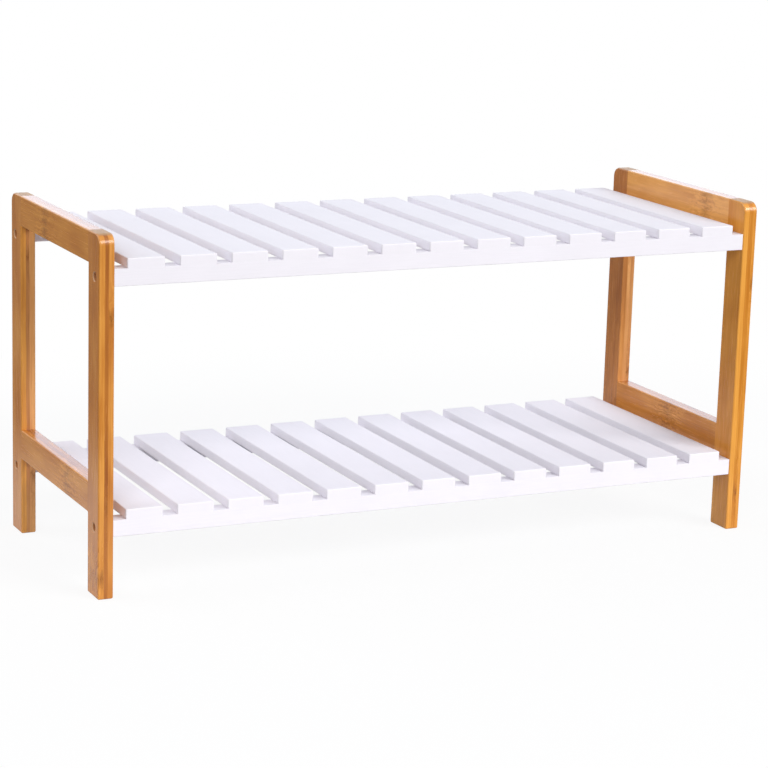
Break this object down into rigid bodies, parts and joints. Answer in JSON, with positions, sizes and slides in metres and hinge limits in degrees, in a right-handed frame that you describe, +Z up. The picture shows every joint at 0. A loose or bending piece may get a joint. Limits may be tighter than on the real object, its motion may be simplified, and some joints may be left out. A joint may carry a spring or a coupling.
{
  "type": "shoe bench",
  "caption": "Low two-tier shoe bench: bamboo end frames with rounded top corners carry white slatted shelves for shoes.",
  "frame": {"origin": "on the floor, under the middle of the bench", "axes": "+X to the right along the bench, +Y from front to back, +Z up"},
  "size_m": [0.7, 0.261, 0.342],
  "materials": {
    "bamboo": "caramel laminated bamboo strips under satin lacquer",
    "white_paint": "white satin paint on wood",
    "dowel_wood": "plain beech",
    "screw_steel": "zinc plated"
  },
  "bodies": {
    "root": {"left_front_post": "bamboo", "left_rear_post": "bamboo", "left_top_rail": "bamboo", "left_lower_rail": "bamboo", "left_frame_dowels": "dowel_wood", "left_frame_screws": "screw_steel", "right_front_post": "bamboo", "right_rear_post": "bamboo", "right_top_rail": "bamboo", "right_lower_rail": "bamboo", "right_frame_dowels": "dowel_wood", "right_frame_screws": "screw_steel", "upper_front_rail": "white_paint", "upper_rear_rail": "white_paint", "upper_slat_01": "white_paint", "upper_slat_02": "white_paint", "upper_slat_03": "white_paint", "upper_slat_04": "white_paint", "upper_slat_05": "white_paint", "upper_slat_06": "white_paint", "upper_slat_07": "white_paint", "upper_slat_08": "white_paint", "upper_slat_09": "white_paint", "upper_slat_10": "white_paint", "upper_slat_11": "white_paint", "upper_slat_12": "white_paint", "upper_slat_13": "white_paint", "upper_slat_screws": "screw_steel", "lower_front_rail": "white_paint", "lower_rear_rail": "white_paint", "lower_slat_01": "white_paint", "lower_slat_02": "white_paint", "lower_slat_03": "white_paint", "lower_slat_04": "white_paint", "lower_slat_05": "white_paint", "lower_slat_06": "white_paint", "lower_slat_07": "white_paint", "lower_slat_08": "white_paint", "lower_slat_09": "white_paint", "lower_slat_10": "white_paint", "lower_slat_11": "white_paint", "lower_slat_12": "white_paint", "lower_slat_13": "white_paint", "lower_slat_screws": "screw_steel"}
  },
  "joints": []
}
